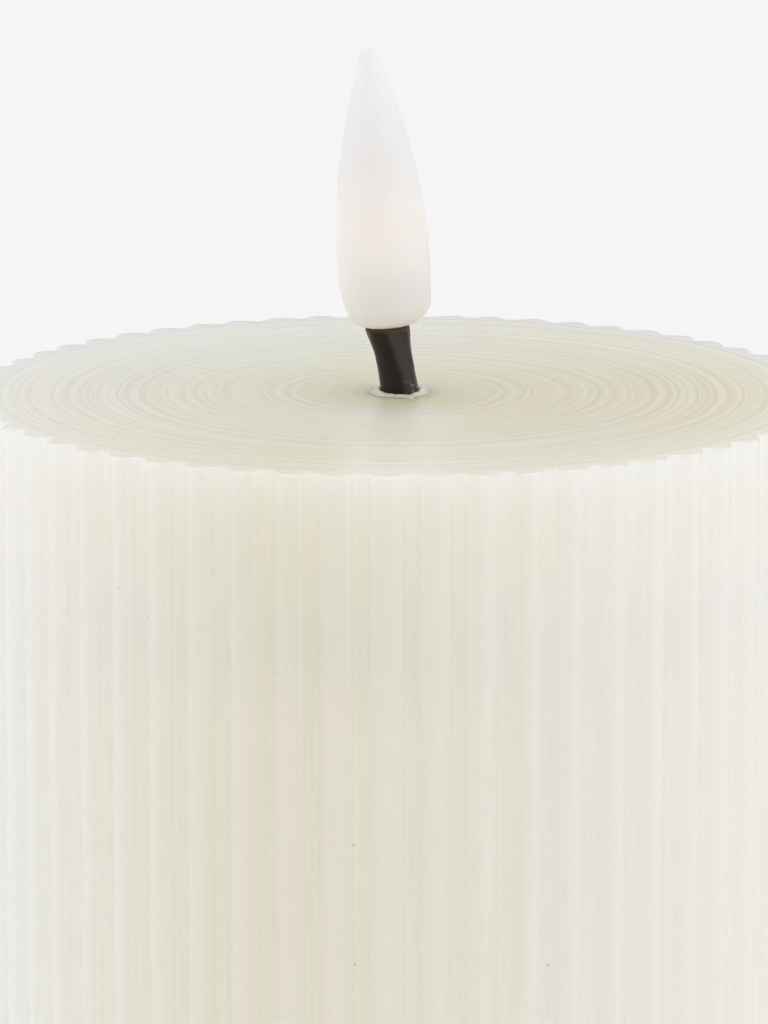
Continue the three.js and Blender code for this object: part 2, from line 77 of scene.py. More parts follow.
# Radius and height of the flame's side, in millimetres, from the neck up to the tip.
FLAME_SIDE = [
    (1.45, -0.9), (1.5, -0.45), (1.62, -0.24), (1.95, -0.17), (2.5, 0.02), (3.03, 0.4),
    (3.46, 0.97), (3.77, 1.68), (3.98, 3.5), (4.05, 6.25), (3.72, 11.05), (2.95, 15.85),
    (1.85, 20.05), (0.92, 23.15), (0.5, 24.2), (0, 24.5),
]
# The same for the hole in it that takes the LED.
FLAME_BORE = [(1.2, -0.9), (1.55, 0.2), (1.55, 4.4), (1.25, 7.5), (0.75, 10.5), (0, 12.0)]

WICK_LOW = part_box("wick_sleeve")[0]
WICK_TOP = FLAME_FOOT.z - 0.27 * MM
WICK_RADIUS = 1.61 * MM
WICK_FLARE = 0.31 * MM
WICK_FOOT_X = 0.17 * MM
WICK_WALL = 0.28 * MM
WICK_HOLE = 1.8 * MM

# ------------------------------------------------------------------ mesh helpers


def ring_mesh(name, rows, close_rows=False):
    """A surface through rows of points; each row is a closed ring with the same number of
    points. A row of one point is a pole. With close_rows the last row joins the first."""
    vertices = []
    starts = []
    for row in rows:
        starts.append(len(vertices))
        vertices.extend(row)
    count = max(len(row) for row in rows)
    pairs = list(zip(range(len(rows) - 1), range(1, len(rows))))
    if close_rows:
        pairs.append((len(rows) - 1, 0))
    faces = []
    for low, high in pairs:
        for i in range(count):
            j = (i + 1) % count
            a, b = starts[low] + i, starts[low] + j
            c, d = starts[high] + j, starts[high] + i
            if len(rows[low]) == 1:
                faces.append((starts[low], c, d))
            elif len(rows[high]) == 1:
                faces.append((a, b, starts[high]))
            else:
                faces.append((a, b, c, d))
    mesh = bpy.data.meshes.new(name)
    mesh.from_pydata(vertices, [], faces)
    mesh.validate()
    mesh.polygons.foreach_set("use_smooth", [True] * len(mesh.polygons))
    mesh.update()
    obj = bpy.data.objects.new(name, mesh)
    bpy.context.scene.collection.objects.link(obj)
    return obj


def smooth_path(points, steps):
    """Catmull-Rom points through the given ones, steps to each stretch."""
    vectors = [Vector(p) for p in points]
    padded = [2 * vectors[0] - vectors[1], *vectors, 2 * vectors[-1] - vectors[-2]]
    path = []
    for k in range(1, len(padded) - 2):
        before, start, end, after = padded[k - 1:k + 3]
        for step in range(steps):
            t = step / steps
            path.append(0.5 * (2 * start + (end - before) * t
                               + (2 * before - 5 * start + 4 * end - after) * t ** 2
                               + (3 * start - 3 * end + after - before) * t ** 3))
    path.append(vectors[-1])
    return path


def circle(radius_x, radius_y, z, sides, centre_x=0.0):
    return [Vector((centre_x + radius_x * math.cos(TAU * i / sides),
                    radius_y * math.sin(TAU * i / sides), z)) for i in range(sides)]


def smoothstep(low, high, value):
    t = min(1.0, max(0.0, (value - low) / (high - low)))
    return t * t * (3 - 2 * t)


# ------------------------------------------------------------------ material helpers

# The range that most of a noise texture's values fall in.
NOISE_LOW, NOISE_HIGH = 0.3, 0.7


class Material:
    """A node material built around one Principled shader."""

    def __init__(self, name, **settings):
        self.material = bpy.data.materials.new(name)
        self.material.use_nodes = True
        self.nodes = self.material.node_tree.nodes
        self.links = self.material.node_tree.links
        self.shader = self.nodes["Principled BSDF"]
        self.place = self.nodes.new("ShaderNodeTexCoord").outputs["Object"]
        for key, value in settings.items():
            self.set(key.replace("_", " "), value)

    def set(self, socket, value):
        """A value that is the same all over the surface."""
        self.shader.inputs[socket].default_value = value

    def feed(self, socket, value):
        """A value that changes over the surface."""
        self.links.new(value, self.shader.inputs[socket])

    def scatter(self, red, green, blue):
        """Light travels inside the material, further in some colours than in others."""
        self.shader.subsurface_method = "RANDOM_WALK"
        self.set("Subsurface Radius", (red, green, blue))

    def put(self, socket, value):
        if isinstance(value, bpy.types.NodeSocket):
            self.links.new(value, socket)
        else:
            socket.default_value = value

    def maths(self, operation, *values):
        made = self.nodes.new("ShaderNodeMath")
        made.operation = operation
        for socket, value in zip(made.inputs, (*values, 0.0, 0.0)):
            self.put(socket, value)
        return made.outputs[0]

    def product(self, first, second):
        return self.maths("MULTIPLY", first, second)

    def squares(self, first, second):
        return self.maths("ADD", self.product(first, first), self.product(second, second))

    def distance(self, first, second):
        return self.maths("SQRT", self.squares(first, second))

    def beyond(self, value, centre, half):
        """One where the value is further than half from the centre."""
        away = self.maths("ABSOLUTE", self.maths("SUBTRACT", value, centre))
        return self.maths("GREATER_THAN", away, half)

    def noise(self, scale, detail=3.0, roughness=0.55, place=None, dimensions="3D"):
        made = self.nodes.new("ShaderNodeTexNoise")
        made.noise_dimensions = dimensions
        made.inputs["Scale"].default_value = scale
        made.inputs["Detail"].default_value = detail
        made.inputs["Roughness"].default_value = roughness
        socket = made.inputs["W" if dimensions == "1D" else "Vector"]
        self.links.new(place or self.place, socket)
        return made.outputs["Fac"]

    def noise_along(self, place, scale, detail, roughness):
        """Noise that changes only with one value."""
        return self.noise(scale, detail, roughness, place, "1D")

    def cells(self, scale, place=None, distance="EUCLIDEAN"):
        """Distance from the nearest of many scattered points, and a chance value for each."""
        made = self.nodes.new("ShaderNodeTexVoronoi")
        made.distance = distance
        self.links.new(place or self.place, made.inputs["Vector"])
        made.inputs["Scale"].default_value = scale
        split = self.nodes.new("ShaderNodeSeparateColor")
        self.links.new(made.outputs["Color"], split.inputs[0])
        return made.outputs["Distance"], split.outputs[0]

    def remap(self, value, from_low, from_high, to_low=0.0, to_high=1.0, smooth=True):
        made = self.nodes.new("ShaderNodeMapRange")
        made.interpolation_type = "SMOOTHSTEP" if smooth else "LINEAR"
        self.links.new(value, made.inputs["Value"])
        ends = (from_low, from_high, to_low, to_high)
        for key, end in zip(("From Min", "From Max", "To Min", "To Max"), ends):
            made.inputs[key].default_value = end
        return made.outputs["Result"]

    def between(self, value, low, low_end, high_start, high):
        """One from low_end to high_start, falling to zero at low and at high."""
        return self.product(self.remap(value, low, low_end),
                            self.remap(value, high_start, high, 1, 0))

    def mix_value(self, share, first, second):
        made = self.nodes.new("ShaderNodeMix")
        for index, value in ((0, share), (2, first), (3, second)):
            self.put(made.inputs[index], value)
        return made.outputs[0]

    def mix(self, share, first, second, blend="MIX"):
        made = self.nodes.new("ShaderNodeMix")
        made.data_type = "RGBA"
        made.blend_type = blend
        for index, value in ((0, share), (6, first), (7, second)):
            self.put(made.inputs[index], value)
        return made.outputs[2]

    def tint(self, share, colour, factor):
        return self.mix(share, colour, factor, blend="MULTIPLY")

    def mottle(self, scale, detail, first, second, roughness=0.55):
        """Two colours in cloudy patches."""
        cloud = self.noise(scale, detail, roughness)
        return self.mix(self.remap(cloud, NOISE_LOW, NOISE_HIGH), first, second)

    def feed_roughness(self, scale, detail, low, high):
        rough = self.remap(self.noise(scale, detail), NOISE_LOW, NOISE_HIGH, low, high)
        self.feed("Roughness", rough)

    def axes(self):
        made = self.nodes.new("ShaderNodeSeparateXYZ")
        self.links.new(self.place, made.inputs[0])
        return made.outputs

    def stretched(self, x, y, z):
        made = self.nodes.new("ShaderNodeMapping")
        self.links.new(self.place, made.inputs["Vector"])
        made.inputs["Scale"].default_value = (x, y, z)
        return made.outputs["Vector"]

    def bump(self, height, distance, strength=1.0, normal=None):
        made = self.nodes.new("ShaderNodeBump")
        made.inputs["Strength"].default_value = strength
        made.inputs["Distance"].default_value = distance
        self.links.new(height, made.inputs["Height"])
        if normal:
            self.links.new(normal, made.inputs["Normal"])
        self.feed("Normal", made.outputs["Normal"])
        return made.outputs["Normal"]


def rgb(red, green, blue):
    return (red, green, blue, 1.0)


def darker(colour, share):
    return rgb(*[c * share for c in colour])


def finish_with(obj, material, body=None, replaces=()):
    obj.data.materials.clear()
    obj.data.materials.append(material)
    if body:
        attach(obj, body)
    if replaces:
        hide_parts(*replaces)
    return obj


# ------------------------------------------------------------------ camera

CAMERA_DISTANCE = 0.701
CAMERA_ELEVATION = math.radians(10.93)
CAMERA_AIM = Vector((-1.2 * MM, -2.0 * MM, WAX_TOP - 10.4 * MM))
CAMERA_LENS = 282.3


def make_camera():
    data = bpy.data.cameras.new("camera")
    data.sensor_width = 36
    data.lens = CAMERA_LENS
    data.clip_start = 0.05
    data.clip_end = 60
    camera = bpy.data.objects.new("camera", data)
    bpy.context.scene.collection.objects.link(camera)
    back = Vector((0, -math.cos(CAMERA_ELEVATION), math.sin(CAMERA_ELEVATION)))
    camera.location = Vector((0, 0, WAX_TOP)) + back * CAMERA_DISTANCE
    camera.rotation_mode = "QUATERNION"
    camera.rotation_quaternion = (CAMERA_AIM - camera.location).to_track_quat("-Z", "Y")
    bpy.context.scene.camera = camera


# ------------------------------------------------------------------ wax pillar

# Places across a rib, from one valley (-1) over the crest (0) towards the next.
RIB_PLACES = (
    -1, -0.93, -0.86, -0.79, -0.72, -0.5, -0.25, 0, 0.25, 0.5, 0.72, 0.79, 0.86, 0.93,
)
# How much one rib may differ from another: sideways in ribs, in depth as a share, in how far the
# crest is sunk in millimetres, and in how far its sides lean.
RIB_SHIFT, RIB_SHALLOWER, RIB_SUNK, RIB_SKEW = 0.025, 0.1, 0.06, 0.03
# The ribs left of the front one stand this much further round, in ribs.
LEFT_DRIFT = -0.13

SIDE_ROWS = 34
# How far the side stays inside the crest circle, which leaves room for its unevenness.
SIDE_ROOM = 0.03 * MM
FOOT_CHAMFER = 0.25 * MM
RIM_ROUND = 0.25 * MM
RIM_DROP = 0.07 * MM
# The radius at which the flat top is round and no longer scalloped, and that of the wick's crater.
FLAT_START = CREST_RADIUS - 2.4 * MM
CRATER_EDGE = 3.4 * MM
TOP_RINGS = 74
CAVITY_CORNER = 3 * MM
SOCKET_CHAMFER = 0.2 * MM


def rib_fall(place):
    """How far the side lies inside the crest circle: a parabola that rounds off into the valley."""
    reach = min(1.0, abs(place))
    if reach < VALLEY_START:
        return RIB_DEPTH * reach * reach
    into = reach - VALLEY_START
    bend = VALLEY_START / (1 - VALLEY_START)
    return RIB_DEPTH * (VALLEY_START ** 2 + 2 * VALLEY_START * into - bend * into * into)


def wax_columns():
    """Angle and fall of every upright line on the side, with each rib a little different."""
    source = random.Random(7)
    pitch = TAU / RIB_COUNT
    half = RIB_COUNT // 2
    crests = []
    for rib in range(-half, half):
        drift = LEFT_DRIFT * smoothstep(1, -2, rib) * smoothstep(-25, -12, rib)
        shift = source.uniform(-RIB_SHIFT, RIB_SHIFT)
        crests.append(CREST_ANGLE - math.pi / 2 + pitch * (rib + drift + shift))
    columns = []
    for k, crest in enumerate(crests):
        before = crests[k - 1] - (TAU if k == 0 else 0)
        after = crests[(k + 1) % RIB_COUNT] + (TAU if k == RIB_COUNT - 1 else 0)
        depth = 1 - source.uniform(0, RIB_SHALLOWER)
        sunk = source.uniform(0, RIB_SUNK) * MM
        skew = source.uniform(-RIB_SKEW, RIB_SKEW)
        for place in RIB_PLACES:
            reach = (crest - before) / 2 if place < 0 else (after - crest) / 2
            fall = rib_fall(place + skew * (1 - place * place)) * depth + sunk
            columns.append((crest + reach * place, fall))
    return columns


def top_relief(radius):
    """Height of the turned rings on the flat top, always a little below the top plane."""
    r = radius / MM
    waves = (0.016 * math.sin(r * 5.3) + 0.012 * math.sin(r * 8.9 + 1.3)
             + 0.010 * math.sin(r * 3.1 + 0.4))
    slow = 0.02 * math.sin(r * 0.55 + 2.0)
    mean_drop = 0.075
    return (waves + slow - mean_drop) * MM


def uneven(angle, z, size, amount):
    place = Vector((math.cos(angle), math.sin(angle), z / CREST_RADIUS)) * size
    return noise.noise(place) * amount


def wax_pillar():
    columns = wax_columns()
    low, top = WAX_LOW.z, WAX_TOP
    rows = []

    def ring(radius_of, height_of):
        row = []
        for angle, fall in columns:
            radius = radius_of(angle, fall)
            row.append(Vector((radius * math.cos(angle), radius * math.sin(angle),
                               height_of(angle, radius))))
        rows.append(row)

    def plain_ring(radius, z):
        ring(lambda angle, fall: radius, lambda angle, r: z)

    def side_ring(z, inset):
        def radius_of(angle, fall):
            wave = min(SIDE_ROOM, uneven(angle, z, 6, 0.06 * MM))
            return CREST_RADIUS - fall - inset - SIDE_ROOM + wave
        ring(radius_of, lambda angle, r: z)

    def rim_ring(turn):
        def height_of(angle, r):
            chip = max(0.0, uneven(angle, top, 26, 0.25 * MM) - 0.06 * MM)
            return top - RIM_DROP - RIM_ROUND * (1 - math.sin(turn)) - chip
        ring(lambda angle, fall: CREST_RADIUS - fall - SIDE_ROOM - RIM_ROUND * (1 - math.cos(turn)),
             height_of)

    def scalloped_ring(share):
        rim_inset = 0.28 * MM
        ring(lambda angle, fall: ((CREST_RADIUS - fall - rim_inset) * (1 - share)
                                  + FLAT_START * share),
             lambda angle, r: top + top_relief(r))

    # the ribbed side, from the foot up to the rim
    side_ring(low, FOOT_CHAMFER)
    side_ring(low + 0.3 * MM, 0.0)
    for k in range(SIDE_ROWS):
        side_ring(low + (top - low) * (k + 1) / (SIDE_ROWS + 1), 0.0)
    side_ring(top - 1.2 * MM, 0.0)
    # the rounded, slightly chipped edge
    for share in (0.0, 0.3, 0.6, 0.85, 1.0):
        rim_ring(share * math.pi / 2)
    # the flat top: scalloped near the edge, round further in
    for share in (0.25, 0.5, 0.75):
        scalloped_ring(share)
    for k in range(TOP_RINGS):
        radius = FLAT_START + (CRATER_EDGE - FLAT_START) * k / (TOP_RINGS - 1)
        plain_ring(radius, top + top_relief(radius))
    # the crater round the wick, and the hole that it goes down
    for radius, drop in ((2.6, 0.1), (1.9, 0.12)):
        plain_ring(radius * MM, top - drop * MM)
    plain_ring(WICK_HOLE, top - 0.3 * MM)
    plain_ring(WICK_HOLE, top - 3 * MM)
    plain_ring(WICK_HOLE, CAVITY_CEILING)
    # the hollow inside, and the socket for the base
    plain_ring(CAVITY_RADIUS - CAVITY_CORNER, CAVITY_CEILING)
    plain_ring(CAVITY_RADIUS, CAVITY_CEILING - CAVITY_CORNER)
    plain_ring(CAVITY_RADIUS, SOCKET_TOP)
    plain_ring(SOCKET_RADIUS, SOCKET_TOP)
    plain_ring(SOCKET_RADIUS, low + SOCKET_CHAMFER)
    plain_ring(SOCKET_RADIUS + SOCKET_CHAMFER, low)
    return ring_mesh("wax_pillar", rows, close_rows=True)


# How far light travels in the thick wax, and beside the dark wick, where less keeps the wick's
# shadow close to it.
WAX_REACH = 0.02
REACH_BY_WICK = 0.006
# The same as a share: on the crests and in the valleys of the thin wall, and by the plastic base.
THIN_CREST_REACH, THIN_VALLEY_REACH, BASE_REACH = 0.85, 0.38, 0.5


def side_colour(m, thin, in_valley, by_base):
    """The ribbed side, with painted light and shade: lighter in the valleys, a painted highlight
    down each flank, lighter and yellower where the wall is thin, and painted light and shade round
    it and up it.
    """
    x, y, z = m.axes()
    radius = m.distance(x, y)
    cloud = m.remap(m.noise(38, 2), 0.35, 0.65)
    base = m.mix(cloud, rgb(0.84, 0.80, 0.66), rgb(0.825, 0.785, 0.645))
    streak = m.noise(1, 3, place=m.stretched(260, 260, 9))
    base = m.mix(m.remap(streak, 0.35, 0.7, 0, 0.35), base, rgb(0.855, 0.82, 0.70))
    # painted light: lighter and yellower where the wall is thin, making up for the light it loses
    # into the hollow
    base = m.mix(thin, base, rgb(0.93, 0.839, 0.675))
    # painted shade: the side a little darker towards the rim
    base = m.tint(m.remap(z, 112 * MM, 123 * MM), base, rgb(0.955, 0.955, 0.95))
    # painted light: the valleys made lighter, against the shade that falls in them
    lift = m.mix(thin, rgb(1.09, 1.09, 1.12), rgb(1.10, 1.105, 1.17))
    base = m.tint(in_valley, base, lift)
    # painted highlights: a light line down each flank of every rib
    painted_flank_highlight = m.between(radius, CREST_RADIUS - 0.8 * MM, CREST_RADIUS - 0.65 * MM,
                      CREST_RADIUS - 0.5 * MM, CREST_RADIUS - 0.35 * MM)
    base = m.tint(painted_flank_highlight, base, rgb(1.035, 1.035, 1.05))
    # painted light and shade: darkest at the front left, lighter and bluer round both sides,
    # quicker on the left
    off_centre = m.maths("ADD", x, 10 * MM)
    aside = m.maths("MAXIMUM", off_centre, m.product(off_centre, -1.35))
    far = m.mix(thin, rgb(1.055, 1.065, 1.135), rgb(1.045, 1.035, 1.09))
    painted_side_light = m.mix(m.remap(aside, 2 * MM, 27 * MM, smooth=False), rgb(0.975, 0.985, 0.99), far)
    base = m.tint(1.0, base, painted_side_light)
    # painted light: the far left edge lighter
    base = m.tint(m.remap(x, -37 * MM, -27 * MM, 1, 0), base, rgb(1.06, 1.06, 1.08))
    # painted light: lighter low down, against the shade of the plastic base behind the wax
    return m.tint(by_base, base, rgb(1.035, 1.035, 1.045))


def top_colour(m):
    """The flat top: turned rings, with painted light and shade: darker towards the right, lighter
    and deeper in colour round the wick, and a painted reflection of the flame in front of it.
    """
    x, y, _ = m.axes()
    radius = m.distance(x, y)
    wobble = m.product(m.maths("SUBTRACT", m.noise(70, 2), 0.5), 0.9 * MM)
    rings = m.noise_along(m.maths("ADD", radius, wobble), 1500, 4, 0.68)
    broad = m.noise_along(radius, 330, 2, 0.5)
    colour = m.mix(m.remap(rings, 0.38, 0.62), rgb(0.865, 0.82, 0.675), rgb(0.995, 0.95, 0.83))
    colour = m.mix(m.remap(broad, 0.35, 0.65, 0, 0.15), colour, rgb(0.90, 0.84, 0.68))
    across = m.maths("SUBTRACT", m.product(x, 0.9), m.product(y, 0.2))
    painted_tints = [
        # painted shade: darker from the left to the right
        (m.remap(across, -25 * MM, 25 * MM), rgb(0.915, 0.895, 0.845)),
        # painted light: lighter and warmer round the wick, and just in front of it, against the
        # wick's shade
        (m.remap(radius, 4 * MM, 26 * MM, 1, 0), rgb(1.06, 1.03, 0.92)),
        (m.product(m.remap(radius, 3 * MM, 9 * MM, 1, 0), m.remap(y, -2 * MM, 0.0, 1, 0)),
         rgb(1.12, 1.05, 0.87)),
        # painted light and shade: the back lighter, then the front darker on the left and lighter
        # on the right, each from left to right
        (m.remap(y, 2 * MM, 18 * MM),
         m.mix(m.remap(x, -20 * MM, 5 * MM), rgb(1.10, 1.085, 1.07), rgb(1.045, 1.055, 1.08))),
        (m.remap(y, -30 * MM, -8 * MM, 1, 0),
         m.mix(m.remap(x, -12 * MM, 12 * MM), rgb(0.965, 0.955, 0.92), rgb(1.03, 1.04, 1.06))),
    ]
    for share, tint in painted_tints:
        colour = m.tint(share, colour, tint)
    # painted reflection of the flame: the light band in front of the wick
    painted_flame_reflection = m.product(m.remap(m.maths("ABSOLUTE", x), 2 * MM, 7 * MM, 1, 0),
                     m.remap(y, -10 * MM, -4 * MM, 1, 0))
    return m.mix(m.product(painted_flame_reflection, 0.5), colour, rgb(1.0, 0.94, 0.80))


def wax_material():
    m = Material("wax", Roughness=0.3, IOR=1.44, Subsurface_Weight=1.0,
                 Subsurface_Scale=WAX_REACH)
    m.scatter(1.0, 0.97, 0.9)
    x, y, z = m.axes()
    radius = m.distance(x, y)
    on_top = m.remap(z, WAX_TOP - 0.4 * MM, WAX_TOP - 0.15 * MM)
    # where the wall is thin, and where the plastic base stands behind it
    thin = m.remap(z, 101 * MM, 113 * MM, 1, 0)
    by_base = m.remap(z, SOCKET_TOP - 2 * MM, SOCKET_TOP + 8 * MM, 1, 0)
    in_valley = m.remap(radius, CREST_RADIUS - 1.3 * MM, CREST_RADIUS - 0.5 * MM, 1, 0)
    base = m.mix(on_top, side_colour(m, thin, in_valley, by_base), top_colour(m))
    # a few dark specks
    away, chance = m.cells(300)
    speck = m.product(m.remap(away, 0.022, 0.034, 1, 0), m.maths("GREATER_THAN", chance, 0.5))
    m.feed("Base Color", m.mix(m.product(speck, 0.5), base, rgb(0.22, 0.2, 0.15)))
    grain = m.bump(m.noise(900, 4, 0.6), 0.02 * MM, 0.6)
    fine_rings = m.product(m.noise_along(radius, 5200, 2, 0.6), on_top)
    m.bump(fine_rings, 0.03 * MM, 1.0, normal=grain)
    near = m.remap(radius, 3 * MM, 7 * MM, REACH_BY_WICK, WAX_REACH)
    ribs = m.mix_value(in_valley, WAX_REACH * THIN_CREST_REACH, WAX_REACH * THIN_VALLEY_REACH)
    wall = m.mix_value(thin, WAX_REACH, ribs)
    wall = m.product(wall, m.mix_value(by_base, 1.0, BASE_REACH))
    m.feed("Subsurface Scale", m.mix_value(on_top, wall, near))
    return m.material


# Radius and height of the wax lip round the wick, in millimetres, from outside inwards.
COLLAR_PROFILE = (
    (3.3, -0.3), (3.0, -0.12), (2.7, -0.1), (2.4, 0.03), (2.15, 0.13), (1.95, 0.22),
    (1.75, 0.14), (1.73, -0.4),
)
COLLAR_TALLEST = 0.42
# The run of wax from the lip: its direction and half width in degrees.
RUN_ANGLE, RUN_WIDTH = 288, 8


def collar():
    """The broken lip of white wax that the wick pushed up, with one run of it on the front."""
    sides = 120
    rows = []
    for radius, lift in COLLAR_PROFILE:
        row = []
        for i in range(sides):
            turn = TAU * i / sides
            around = Vector((math.cos(turn), math.sin(turn), radius * 0.5))
            # the lip is broken: it sinks under the wax in places, and is highest left and right
            height = 0.2 + 0.7 * noise.noise(around * 1.9) + 0.7 * noise.noise(around * 5.5)
            height += 1.5 * math.cos(turn) ** 4
            rise = lift * max(0.0, height) if lift > 0 else lift
            off_run = (math.degrees(turn) - RUN_ANGLE) / RUN_WIDTH
            run = math.exp(-off_run ** 2) * max(0.0, radius - 2.1) * 0.9
            wide = radius + run
            rise += 0.12 * min(1.0, run) - 0.04
            row.append(Vector((wide * math.cos(turn) * MM + WICK_FOOT_X,
                               wide * math.sin(turn) * MM,
                               WAX_TOP + min(rise, COLLAR_TALLEST) * MM)))
        rows.append(row)
    return ring_mesh("wick_collar", rows)


def collar_material():
    """Like the wax where it lies flat, and white where it stands up."""
    m = Material("collar_wax", Roughness=0.35, IOR=1.44, Subsurface_Weight=1.0,
                 Subsurface_Scale=0.0008)
    m.scatter(1.0, 0.95, 0.85)
    z = m.axes()[2]
    lifted = m.remap(z, WAX_TOP + 0.04 * MM, WAX_TOP + 0.24 * MM)
    flakes = m.remap(m.noise(900, 3, 0.6), 0.42, 0.58)
    skin = m.mix(m.product(flakes, 0.6), rgb(0.86, 0.79, 0.60), rgb(0.91, 0.85, 0.69))
    m.feed("Base Color", m.mix(lifted, skin, rgb(1.0, 0.975, 0.92)))
    m.bump(m.noise(1500, 3), 0.06 * MM, 0.8)
    return m.material


# ------------------------------------------------------------------ wick


def wick_x(z):
    """Sideways place of the wick's centre line at height z."""
    in_wax = min(1.0, (z - WICK_LOW.z) / (WAX_TOP - WICK_LOW.z))
    share = max(0.0, z - WAX_TOP) / (WICK_TOP - WAX_TOP)
    return WICK_FOOT_X * in_wax + (FLAME_FOOT.x - WICK_FOOT_X) * share ** 1.2


def wick_tube():
    """A soft sleeve, creased and a little uneven, that flares under the flame."""
    sides = 40
    steps = 22
    flare_start = WAX_TOP + 3.0 * MM
    lip = 0.04 * MM

    def wick_ring(z, shrink, drop=0.0):
        flare = WICK_FLARE * smoothstep(flare_start, WICK_TOP, z) ** 1.3
        wave = 0.012 * MM * math.sin(z / MM * 2.1)
        foot = 0.06 * MM * (1 - smoothstep(WAX_TOP, WAX_TOP + 1.8 * MM, z))
        lean = FLAME_LEAN * smoothstep(WAX_TOP, WICK_TOP, z)
        row = []
        for i in range(sides):
            turn = TAU * i / sides
            place = Vector((math.cos(turn), math.sin(turn), z / MM * 0.5)) * 2
            crease = 0.035 * MM * noise.noise(place)
            radius = WICK_RADIUS + flare + foot + wave * 0.5 + crease - shrink
            rise = radius * math.cos(turn) * math.tan(lean) * 1.3
            row.append(Vector((wick_x(z) + radius * math.cos(turn),
                               radius * 0.97 * math.sin(turn), z + rise - drop)))
        return row

    heights = [WICK_LOW.z, WAX_TOP - 2 * MM]
    heights += [WAX_TOP + (WICK_TOP - WAX_TOP) * k / steps for k in range(-2, steps + 1)]
    rows = [wick_ring(z, 0, drop=lip) for z in heights]
    rows += [wick_ring(WICK_TOP, lip), wick_ring(WICK_TOP, WICK_WALL - lip)]
    rows += [wick_ring(z, WICK_WALL, drop=lip) for z in reversed(heights)]
    return ring_mesh("wick_tube", rows, close_rows=True)


def wick_material():
    m = Material("wick", Roughness=0.34, IOR=1.48, Specular_IOR_Level=0.3)
    x, _, z = m.axes()
    dark = m.mottle(500, 4, rgb(0.009, 0.0062, 0.0045), rgb(0.015, 0.0105, 0.008))
    # painted reflection: an olive sheen of the warm surroundings along its left edge
    centre = m.remap(z, WAX_TOP, WICK_TOP, WICK_FOOT_X, FLAME_FOOT.x, smooth=False)
    side = m.maths("SUBTRACT", x, centre)
    edge = m.remap(side, -1.75 * MM, -1.45 * MM, 0.8, 0)
    dark = m.mix(edge, dark, rgb(0.10, 0.078, 0.045))
    # painted highlight: a greyer band that runs down it from the middle to the right
    slant = m.remap(z, WAX_TOP, WICK_TOP, -0.35 * MM, 0.45 * MM, smooth=False)
    drift = m.maths("ADD", side, slant)
    painted_wick_highlight = m.product(m.remap(drift, 0.0, 0.7 * MM), m.remap(drift, 1.1 * MM, 1.8 * MM, 1, 0.35))
    dark = m.mix(m.product(painted_wick_highlight, 0.75), dark, rgb(0.058, 0.050, 0.052))
    # painted glow: a little warm light where it meets the flame
    painted_led_glow = m.remap(z, WICK_TOP - 0.45 * MM, WICK_TOP - 0.05 * MM)
    dark = m.mix(painted_led_glow, dark, rgb(0.09, 0.04, 0.013))
    # crumbs of wax on the foot of the sleeve
    crumbs = m.product(m.remap(m.noise(3200, 3, 0.7), 0.56, 0.62),
                       m.remap(side, 0.3 * MM, 0.9 * MM))
    crumbs = m.product(crumbs, m.remap(z, WAX_TOP + 0.5 * MM, WAX_TOP + 1.7 * MM, 0.8, 0))
    m.feed("Base Color", m.mix(crumbs, dark, rgb(0.3, 0.29, 0.27)))
    m.feed_roughness(800, 3, 0.32, 0.42)
    m.bump(m.noise(1, 3, place=m.stretched(900, 900, 300)), 0.03 * MM, 0.7)
    return m.material


# ------------------------------------------------------------------ flame


def flame_frame(point):
    """From the flame's own frame to the candle's."""
    c, s = math.cos(FLAME_LEAN), math.sin(FLAME_LEAN)
    return FLAME_FOOT + Vector((point.x * c - point.z * s, point.y, point.x * s + point.z * c))


def flame_diffuser():
    height = FLAME_SIDE[-1][1] * MM
    sides = 64

    def flame_ring(radius, z):
        belly = FLAME_BULGE * math.sin(math.pi * max(0.0, z) / height)
        # the foot is a little fuller on the right
        fuller = smoothstep(0.0, 0.7 * MM, z)
        belly += 0.14 * MM * fuller * (1 - smoothstep(1.5 * MM, 3.6 * MM, z))
        if radius == 0:
            return [flame_frame(Vector((belly, 0, z)))]
        ring = circle(radius, radius * FLAME_DEPTH_SHARE, z, sides, belly)
        return [flame_frame(point) for point in ring]

    def side_rings(profile, steps, seam_depth):
        path = smooth_path([(radius * MM, z * MM, 0) for radius, z in profile], steps)
        rings = []
        for p in path[:-1]:
            seam = seam_depth * math.exp(-((p.y / MM - 2.3) / 0.12) ** 2)
            rings.append(flame_ring(p.x - seam, p.y))
        return [*rings, flame_ring(0, path[-1].y)]

    inside = side_rings(FLAME_BORE, 5, 0.0)
    outside = side_rings(FLAME_SIDE, 6, 0.02 * MM)
    return ring_mesh("flame_diffuser", [*reversed(inside), *outside])


